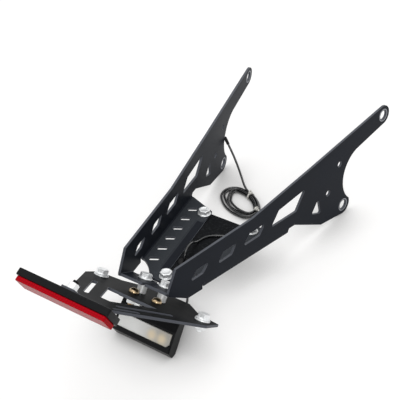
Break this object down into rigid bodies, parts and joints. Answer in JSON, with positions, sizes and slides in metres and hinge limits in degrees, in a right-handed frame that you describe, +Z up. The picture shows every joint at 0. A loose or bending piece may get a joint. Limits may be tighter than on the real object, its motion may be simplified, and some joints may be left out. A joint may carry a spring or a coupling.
{
  "type": "short rear fender",
  "caption": "Folded black sheet rear fender with splayed side plates, slotted panels, tapered number plate bracket, plate light, red reflector and coiled lead.",
  "frame": {"origin": "middle of the footprint on the table, under the object without its loose cable", "axes": "+Z up from the table it lies on, +Y towards the mounting arms, +X to the right plate"},
  "size_m": [0.1684, 0.4142, 0.1415],
  "materials": {
    "sheet_paint": "semi-gloss black powder coat",
    "zinc": "bright zinc plate",
    "yellow_zinc": "yellow zinc plate",
    "black_plastic": "moulded black plastic",
    "clear_plastic": "clear moulded lens",
    "red_plastic": "red prismatic lens",
    "black_rubber": "soft black rubber",
    "board_green": "white circuit board",
    "led_warm": "warm white diode",
    "cable_black": "black cable sheath",
    "tie_white": "white nylon"
  },
  "bodies": {
    "root": {"right_side_plate": "sheet_paint", "left_side_plate": "sheet_paint", "centre_panel": "sheet_paint", "plate_bracket": "sheet_paint", "panel_bolts": "zinc", "panel_washers": "zinc", "panel_nuts": "zinc", "flange_bolts": "zinc", "flange_spacers": "zinc", "flange_nuts": "zinc", "ear_bolts": "zinc", "ear_washers": "zinc", "ear_nuts": "zinc", "light_housing": "black_plastic", "light_lens": "clear_plastic", "light_gasket": "black_rubber", "light_board": "board_green", "light_leds": "led_warm", "light_bolts": "yellow_zinc", "light_nuts": "yellow_zinc", "light_gland": "black_rubber", "reflector_base": "black_plastic", "reflector_lens": "red_plastic", "reflector_washer": "zinc", "reflector_nut": "zinc", "cable_grommet": "black_rubber", "cable_lead": "cable_black", "cable_coil": "cable_black", "cable_tail": "cable_black", "cable_sleeve": "black_rubber", "zip_ties": "tie_white"}
  },
  "joints": []
}
